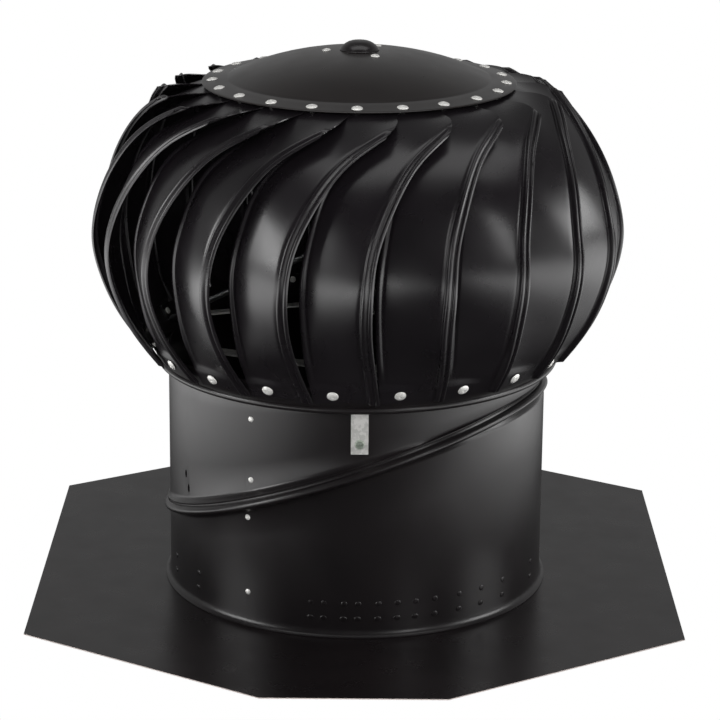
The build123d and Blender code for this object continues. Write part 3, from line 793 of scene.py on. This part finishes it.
# ---------------------------------------------------------------- turbine head
@dataclass
class LouvreBlades:
    """The ring of curved louvre blades, each with a rolled bead along its outer edge."""

    finishes: Finishes
    sheet: float = 0.7
    rows: int = 84
    hollow: float = 3.0
    belly: float = 2.5
    bead: float = 2.6
    bend: float = 3.0
    end_sway: float = 3.5
    panel_start: float = 12.0
    panel_end: float = 8.6
    panel_steps: int = 13
    play: float = 0.3
    ring_reach: float = 235.0
    middle: float = 300.0

    def __post_init__(self) -> None:
        """Lays out the blade's two edges and the section of its bead."""
        outer = (
            (171.0, -12.0, 194.0),
            (193.3, -13.7, 224.0),
            (208.7, -15.0, 258.0),
            (214.5, -15.0, 290.0),
            (209.6, -14.0, 320.0),
            (200.8, -11.5, 345.0),
            (190.0, -8.2, 366.0),
            (176.4, -2.9, 386.0),
            (167.5, 2.5, 397.0),
            (160.0, 7.6, 405.0),
        )
        inner = (
            (165.5, -28.0, 195.5),
            (181.0, -29.5, 228.0),
            (188.5, -30.2, 265.0),
            (190.5, -30.0, 300.0),
            (183.0, -28.3, 335.0),
            (172.0, -25.8, 362.0),
            (156.0, -19.8, 384.0),
            (134.0, -8.0, 402.0),
            (112.0, 2.0, 410.8),
            (109.0, 18.5, 412.3),
        )
        self.outer = Curve([tuple(polar(*point) / MM) for point in outer])
        self.inner = Curve([tuple(polar(*point) / MM) for point in inner])
        # distance in from the outer edge, and height over the plain panel: a turned lip, a
        # groove, the rolled bead and a second groove
        self.section = (
            (-1.4, -1.6),
            (-1.2, -0.5),
            (-0.6, 0.3),
            (0.1, 0.5),
            (0.8, 0.2),
            (1.4, -0.3),
            (2.0, -0.2),
            (2.6, 0.7),
            (3.3, 1.8),
            (4.1, 2.5),
            (4.9, 2.6),
            (5.7, 2.2),
            (6.4, 1.3),
            (7.0, 0.2),
            (7.7, -0.7),
            (8.6, -0.9),
            (9.6, -0.5),
            (10.8, -0.1),
        )
        # the same along the inner edge, which is rolled into a smaller bead
        self.inner_section = (
            (7.6, 0.0),
            (6.2, -0.5),
            (5.2, -0.6),
            (4.4, 0.0),
            (3.6, 1.0),
            (2.7, 1.5),
            (1.8, 1.4),
            (0.9, 0.8),
            (0.2, -0.2),
            (0.0, -1.1),
        )

    def flange(self, height: float) -> float:
        """Gives the outside radius of the ring's sloping flange at a height, in millimetres."""
        skin = 0.46
        return FLANGE_RADIUS + (height - FLANGE_FOOT) * FLANGE_FLARE / FLANGE_RISE + skin

    def seated(self, point: Vector, extra: float) -> Vector:
        """Keeps a point of the blade outside the ring's flange and under the cap's rim.

        Args:
            point: the point in millimetres.
            extra: how far above the panel the point lies in millimetres.

        Returns:
            The point, moved if it has to be.
        """
        radius = math.hypot(point.x, point.y)
        clearance = self.sheet / 2 + self.play
        # how steeply the limit falls inwards above the flange, and how much longer a level gap is
        # than one square to the sheet
        fall, slant = 0.9, 1.14
        lowest = self.flange(min(point.z, FLANGE_TOP)) - max(point.z - FLANGE_TOP, 0) * fall
        lowest += clearance * slant + max(extra, 0)
        if point.z < self.ring_reach:
            gap = radius - lowest
            rest = lowest + (gap + math.sqrt(gap * gap + self.bend * self.bend)) / 2
            point = Vector((point.x * rest / radius, point.y * rest / radius, point.z))
        if radius < CAP_RADIUS + 3:
            share = (radius - DOME_RADIUS) / (CAP_RADIUS - DOME_RADIUS)
            ceiling = RIM_HEIGHT - share * RIM_DROP - CAP_SHEET - clearance
            point = Vector((point.x, point.y, min(point.z, ceiling)))
        return point

    def row(self, share: float) -> list[Vector]:
        """Gives the points across the blade at a share of its length.

        Args:
            share: 0 at the ring and 1 at the cap.

        Returns:
            The points from the bead to the inner edge, in metres.
        """
        outer = Vector(self.outer.at(share))
        ahead, behind = min(share + 0.004, 1), max(share - 0.004, 0)
        along = Vector(self.outer.at(ahead)) - Vector(self.outer.at(behind))
        across = Vector(self.inner.at(share)) - outer
        onwards = along.normalized()
        normal = along.cross(across).normalized()
        if normal.dot(outer - Vector((0, 0, self.middle))) < 0:
            normal = -normal
        width = across.length
        inwards = across.normalized()
        # the panel bellies out between its ends and is hollow at the foot, and both beads fade out
        # towards the ends
        crown = self.belly * ease((share - 0.12) / 0.2) * ease((1 - share) / 0.25)
        hollow = self.hollow * (1 - ease(share / 0.2))
        fade = ease(share / 0.012) * ease((1 - share) / 0.015)
        inner_fade = ease((share - 0.06) / 0.08) * ease((0.72 - share) / 0.1)
        first, last = self.panel_start, width - self.panel_end
        spread = [
            (first + (last - first) * step / self.panel_steps, 0.0) for step in range(self.panel_steps + 1)
        ]
        edge = [(width - distance, raised * inner_fade) for distance, raised in self.inner_section]
        stations = [(distance, raised * fade) for distance, raised in self.section] + spread + edge
        points = []
        for distance, raised in stations:
            part = max((distance - self.bead) / (width - self.bead), 0)
            bulge = 4 * part * (1 - part) * (crown - hollow)
            drop = self.bead * (1 - part) - bulge
            wave = math.sin(math.tau * min(distance / width, 1))
            sway = self.end_sway * wave * ease((share - 0.9) / 0.1)
            point = outer + inwards * distance + normal * (raised - drop) + onwards * sway
            points.append(self.seated(point, raised) * MM)
        return points

    def build(self) -> None:
        """Models one blade and copies it round the head."""
        rows = [self.row(step / (self.rows - 1)) for step in range(self.rows)]
        master = drape("blade_master", rows)
        face_outwards(master)
        thicken(master, self.sheet, 0.0)
        shade(master, 50)
        for index in range(PITCH_COUNT):
            blade = master.copy()
            blade.data = master.data.copy()
            blade.name = f"louvre_{index + 1:02d}"
            blade.data.transform(Matrix.Rotation(math.radians(index * PITCH), 4, "Z"))
            bpy.context.collection.objects.link(blade)
            finish_piece(blade, "head", "black_paint", self.finishes.blade, f"blade_{index + 1:02d}")
        bpy.data.objects.remove(master)


@dataclass
class HeadShell:
    """The lower ring, the domed cap and the small cap over the bearing."""

    finishes: Finishes
    flats: int = 252

    def ring(self) -> None:
        """Models the ring: a sloping flange that curls into a bead at its foot."""
        profile = [(171.6, 209.1), (171.9, 209.5), (171.4, 208.2)]
        for share in (0.85, 0.6, 0.35, 0.12):
            profile.append((FLANGE_RADIUS + FLANGE_FLARE * share, FLANGE_FOOT + FLANGE_RISE * share))
        curl_radius, curl_height, curl = 159.7, 188.6, 2.9
        for step in range(19):
            angle = math.radians(62 - step * 17)
            profile.append((curl_radius + curl * math.cos(angle), curl_height + curl * math.sin(angle)))
        piece = turn("ring_shell", profile, self.flats)
        face_outwards(piece)
        thicken(piece, 0.6)
        shade(piece, 42)
        finish_piece(piece, "head", "black_paint", self.finishes.shell, "lower_ring")

    def dome(self) -> None:
        """Models the cap: a shallow dome, a soft crease and a flat rim with a turned-down edge."""
        profile = [(0.0, 436.1)]
        inner = (0.04, 0.08, 0.12, 0.18, 0.25, 0.33, 0.42, 0.5)
        outer = (0.58, 0.66, 0.74, 0.81, 0.87, 0.92, 0.96)
        profile += [(DOME_RADIUS * share, dome_height(share)) for share in inner + outer]
        profile += [(103.2, 415.4), (104.4, 414.75), (105.2, 414.6), (107.5, 414.5), (112.0, 413.7)]
        profile += [(117.0, 412.8), (121.5, 412.05), (123.4, 411.75), (124.2, 411.5), (124.5, 411.0)]
        piece = turn("dome_shell", profile, self.flats)
        choose(piece)
        if sum(face.normal.z for face in piece.data.polygons) < 0:
            piece.data.flip_normals()
        thicken(piece, CAP_SHEET)
        shade(piece, 42)
        finish_piece(piece, "head", "black_paint", self.finishes.cap, "dome_cap")

    def hub(self) -> None:
        """Models the pressed cap over the upper bearing."""
        profile = [(0.0, 443.9), (2.6, 443.9), (4.6, 443.75), (7.0, 443.3), (9.2, 442.55), (11.2, 441.4)]
        profile += [(12.9, 440.1), (14.2, 438.7), (14.9, 437.6), (15.2, 436.95), (15.5, 436.7)]
        profile += [(15.4, 436.2), (14.4, 436.4), (0.0, 436.8)]
        piece = turn("hub_shell", profile, 72)
        shade(piece, 50)
        finish_piece(piece, "head", "black_paint", self.finishes.shell, "bearing_cap")

    def build(self) -> None:
        """Models the ring, the dome and the hub."""
        self.ring()
        self.dome()
        self.hub()


@dataclass
class Rivets:
    """The blind rivets: domed heads with the stub of the pulled stem in the middle."""

    finishes: Finishes

    def rivet(self, head: float, height: float, shank: float, grip: float) -> bpy.types.Object:
        """Models one rivet at the origin, its head towards +Z.

        Args:
            head: the head's radius in millimetres.
            height: the head's height.
            shank: the shank's radius.
            grip: distance from the head's seat to the tail.

        Returns:
            The rivet.
        """
        profile = [
            (0.0, height * 0.8),
            (head * 0.2, height * 0.8),
            (head * 0.26, height),
            (head * 0.45, height * 0.95),
            (head * 0.72, height * 0.72),
            (head * 0.92, height * 0.38),
            (head, height * 0.12),
            (head, 0.0),
            (shank, 0.0),
            (shank, -grip),
            (shank * 1.4, -grip - 0.1),
            (shank * 1.4, -grip - 0.8),
            (0.0, -grip - 1.0),
        ]
        rivet = turn("rivet", profile, 20)
        shade(rivet, 50)
        return rivet

    def build(self) -> None:
        """Sets the rivets in the ring, the cap, the bearing cap's plate and both seams."""
        lean = -math.degrees(math.atan2(FLANGE_FLARE, FLANGE_RISE))
        slope = math.radians(-lean)
        # how far the ring's heads stand off the flange
        seat = 2.4
        radius, height = 169.3 + seat * math.cos(slope), 204.4 - seat * math.sin(slope)
        ring = [facing(radius, -23.16 + PITCH * k, height, lean) for k in range(PITCH_COUNT)]
        rim = 90 - math.degrees(math.atan2(RIM_DROP, CAP_RADIUS - DOME_RADIUS))
        cap = [facing(116.3, -0.71 + PITCH * k, 412.95, rim) for k in range(PITCH_COUNT)]
        dome = dome_height(26 / DOME_RADIUS)
        hub = [facing(26.0, azimuth, dome + 0.05, 85.1) for azimuth in (-92.0, 28.0, 148.0)]
        upper = [facing(153.4, -32.0, height, 0) for height in (122.0, 171.5)]
        lower = [facing(153.4, -33.2, height, 0) for height in (28.5, 90.6)]
        groups = (
            ("ring_rivet_heads", self.rivet(4.5, 1.5, 1.9, 5.4), ring, "head", "ring_rivets"),
            ("cap_rivet_heads", self.rivet(4.4, 1.4, 1.9, 5.6), cap, "head", "cap_rivets"),
            ("hub_rivet_heads", self.rivet(3.6, 1.4, 1.7, 5.6), hub, "head", "bearing_cap_rivets"),
            ("upper_seam_heads", self.rivet(2.4, 1.2, 1.2, 1.4), upper, "throat", "upper_seam_rivets"),
            ("lower_seam_heads", self.rivet(2.4, 1.2, 1.2, 1.4), lower, "base", "lower_seam_rivets"),
        )
        for name, master, places, body, node in groups:
            piece = stand_on(master, name, places)
            finish_piece(piece, body, "rivet_aluminium", self.finishes.rivet, node)


def dress_carried_nodes(nodes: dict[str, bpy.types.Object], finishes: Finishes) -> None:
    """Gives each node that stays as it is its finish.

    Args:
        nodes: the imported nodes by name.
        finishes: the materials.
    """
    wear = {
        "flashing": finishes.flashing,
        "brace_arm": finishes.galvanised,
        "brace_stay": finishes.galvanised,
        "upper_hub_plate": finishes.galvanised,
        "lower_hub_plate": finishes.galvanised,
        "brace_screws": finishes.zinc,
        "brace_nuts": finishes.zinc,
        "shaft_nuts": finishes.zinc,
        "shaft_washers": finishes.zinc,
        "head_spoke": finishes.steel,
        "upper_bearing": finishes.steel,
        "lower_bearing": finishes.steel,
        "shaft": finishes.steel,
    }
    for name, piece in nodes.items():
        for start, material in wear.items():
            if name.startswith(start):
                piece.data.materials.clear()
                piece.data.materials.append(material)
                break


# ---------------------------------------------------------------- stage
# the floor's brightness in scattered light, and the height in metres at which the lights aim
WHITE_PAPER = 0.82
AIM_HEIGHT = 0.22


def seen_directly(tree: bpy.types.NodeTree) -> tuple[bpy.types.Node, bpy.types.NodeSocket]:
    """Tells the rays by which the camera sees a thing itself from all others.

    Args:
        tree: the node tree.

    Returns:
        The ray's kinds, and 1 for such a ray or 0 for another.
    """
    path = add_node(tree, "ShaderNodeLightPath", {}, {})
    kinds = path.outputs["Is Camera Ray"], path.outputs["Is Transmission Ray"]
    return path, maths(tree, "MAXIMUM", *kinds)


@dataclass
class Studio:
    """The floor, the soft lights and the camera."""

    eye: tuple[float, float, float] = (0.0, -2.15229, 0.82936)
    pitch: float = 0.2927
    yaw: float = 0.0012
    roll: float = 0.0091
    lens: float = 137.87

    def camera(self) -> None:
        """Sets up the camera."""
        data = bpy.data.cameras.new("camera")
        data.lens = self.lens
        data.sensor_width = 36.0
        data.clip_start = 0.05
        data.dof.use_dof = False
        camera = bpy.data.objects.new("camera", data)
        bpy.context.collection.objects.link(camera)
        ahead = Vector(
            (
                math.sin(self.yaw) * math.cos(self.pitch),
                math.cos(self.yaw) * math.cos(self.pitch),
                -math.sin(self.pitch),
            )
        )
        right = Vector((math.cos(self.yaw), -math.sin(self.yaw), 0))
        up = right.cross(ahead)
        rolled = right * math.cos(self.roll) + up * math.sin(self.roll)
        upright = up * math.cos(self.roll) - right * math.sin(self.roll)
        turned = Matrix((rolled, upright, -ahead)).transposed().to_4x4()
        camera.matrix_world = Matrix.Translation(Vector(self.eye)) @ turned
        bpy.context.scene.camera = camera

    def softbox(
        self,
        name: str,
        place: tuple[float, float, float],
        size: tuple[float, float],
        power: float,
        mirrored: bool = True,
    ) -> None:
        """Hangs a soft light that faces the ventilator.

        Args:
            name: the light's name.
            place: where it hangs, in metres.
            size: its width and height in metres.
            power: its strength in watts.
            mirrored: whether glossy surfaces show it.
        """
        data = bpy.data.lights.new(name, "AREA")
        data.shape = "RECTANGLE"
        data.size, data.size_y = size
        data.energy = power
        light = bpy.data.objects.new(name, data)
        light.location = place
        light.visible_glossy = mirrored
        aim = Vector((0, 0, AIM_HEIGHT)) - Vector(place)
        light.rotation_euler = aim.to_track_quat("-Z", "Y").to_euler()
        bpy.context.collection.objects.link(light)

    def floor(self) -> None:
        """Lays the white floor just under the flashing."""
        deselect()
        bpy.ops.mesh.primitive_circle_add(
            vertices=96, radius=6.0, fill_type="NGON", location=(0, 0, -0.0004)
        )
        floor = bpy.context.object
        floor.name = "floor"
        material = bpy.data.materials.new("white_sweep")
        material.use_nodes = True
        tree = material.node_tree
        tree.nodes.clear()
        path, seen = seen_directly(tree)
        matt = add_node(tree, "ShaderNodeBsdfDiffuse", {}, {"Color": grey(WHITE_PAPER)})
        white = add_node(tree, "ShaderNodeEmission", {}, {"Color": grey(1.0), "Strength": 1.0})
        # painted reflection: to glossy rays the floor glows, strongly at both sides and faintly in front,
        # so the paint mirrors what looks like a lit sweep
        spot = add_node(tree, "ShaderNodeNewGeometry", {}, {})
        split = add_node(tree, "ShaderNodeSeparateXYZ", {}, {"Vector": spot.outputs["Position"]})
        aside = maths(tree, "ABSOLUTE", split.outputs["X"])
        painted_side_glow = remap(tree, aside, (0.22, 1.0), (0.02, 4.0))
        fading = remap(tree, split.outputs["Y"], (0.1, 0.8), (1.0, 0.25))
        strength = maths(tree, "MULTIPLY", painted_side_glow, fading)
        # the painted glow that glossy rays see in place of the matt floor
        mirrored = add_node(tree, "ShaderNodeEmission", {}, {"Color": grey(1.0), "Strength": strength})
        parts = {0: path.outputs["Is Glossy Ray"], 1: matt.outputs[0], 2: mirrored.outputs[0]}
        gloss = add_node(tree, "ShaderNodeMixShader", {}, parts)
        parts = {0: seen, 1: gloss.outputs[0], 2: white.outputs[0]}
        mixed = add_node(tree, "ShaderNodeMixShader", {}, parts)
        add_node(tree, "ShaderNodeOutputMaterial", {}, {"Surface": mixed.outputs[0]})
        floor.data.materials.append(material)

    def world(self) -> None:
        """Makes the surroundings white to the camera and dim to the paint's gloss."""
        world = bpy.data.worlds.new("surroundings")
        bpy.context.scene.world = world
        world.use_nodes = True
        tree = world.node_tree
        tree.nodes.clear()
        _, seen = seen_directly(tree)
        place = add_node(tree, "ShaderNodeTexCoord", {}, {})
        split = add_node(tree, "ShaderNodeSeparateXYZ", {}, {"Vector": place.outputs["Generated"]})
        behind = remap(tree, split.outputs["Y"], (-0.2, 0.6), (0.02, 0.44))
        overhead = remap(tree, split.outputs["Z"], (0.4, 0.9), (1.0, 0.3))
        sky = maths(tree, "MULTIPLY", behind, overhead)
        level = add_node(tree, "ShaderNodeMix", {"data_type": "FLOAT"}, {0: seen, 2: sky, 3: 1.0})
        glow = add_node(tree, "ShaderNodeBackground", {}, {"Strength": level.outputs[0]})
        add_node(tree, "ShaderNodeOutputWorld", {}, {"Surface": glow.outputs[0]})

    def build(self) -> None:
        """Sets the whole stage."""
        self.camera()
        self.floor()
        self.world()
        self.softbox("left_softbox", (-2.3, -0.75, 0.9), (1.2, 0.9), 26)
        self.softbox("right_softbox", (2.35, -0.3, 0.9), (1.2, 0.9), 24)
        self.softbox("front_right_softbox", (1.5, -2.3, 1.4), (0.35, 1.2), 10)
        self.softbox("top_softbox", (0.0, -0.2, 2.4), (2.6, 1.2), 16)
        self.softbox("front_fill", (0.0, -2.6, 1.3), (1.6, 1.6), 60, mirrored=False)
        bpy.context.scene.view_settings.view_transform = "Standard"


def main() -> None:
    """Builds each part of the ventilator in order."""
    logging.basicConfig(level=logging.INFO, format="%(name)s %(message)s")
    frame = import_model()
    finishes = Finishes()
    dress_carried_nodes(frame["nodes"], finishes)
    Throat(finishes).build()
    LouvreBlades(finishes).build()
    HeadShell(finishes).build()
    Rivets(finishes).build()
    Studio().build()


if __name__ == "__main__":
    main()
